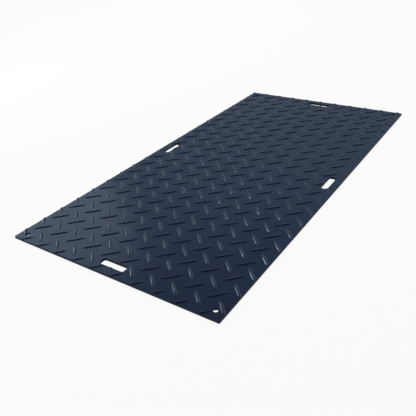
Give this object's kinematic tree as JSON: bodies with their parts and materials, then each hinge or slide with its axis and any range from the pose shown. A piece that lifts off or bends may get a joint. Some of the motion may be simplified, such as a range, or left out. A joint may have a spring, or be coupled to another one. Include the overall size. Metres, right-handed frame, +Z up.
{
  "type": "ground protection mat",
  "caption": "Rectangular plastic ground protection mat with a raised diamond tread, a hand slot in each side and a through hole in each corner.",
  "frame": {"origin": "centre of the mat's outline, on its underside", "axes": "+X along the short side, +Y along the long side, +Z up through the thickness to the tread"},
  "size_m": [1.219, 2.438, 0.017],
  "materials": {
    "moulded_hdpe": "satin dark blue-black, as moulded"
  },
  "bodies": {
    "root": {"ground_mat": "moulded_hdpe"}
  },
  "joints": []
}
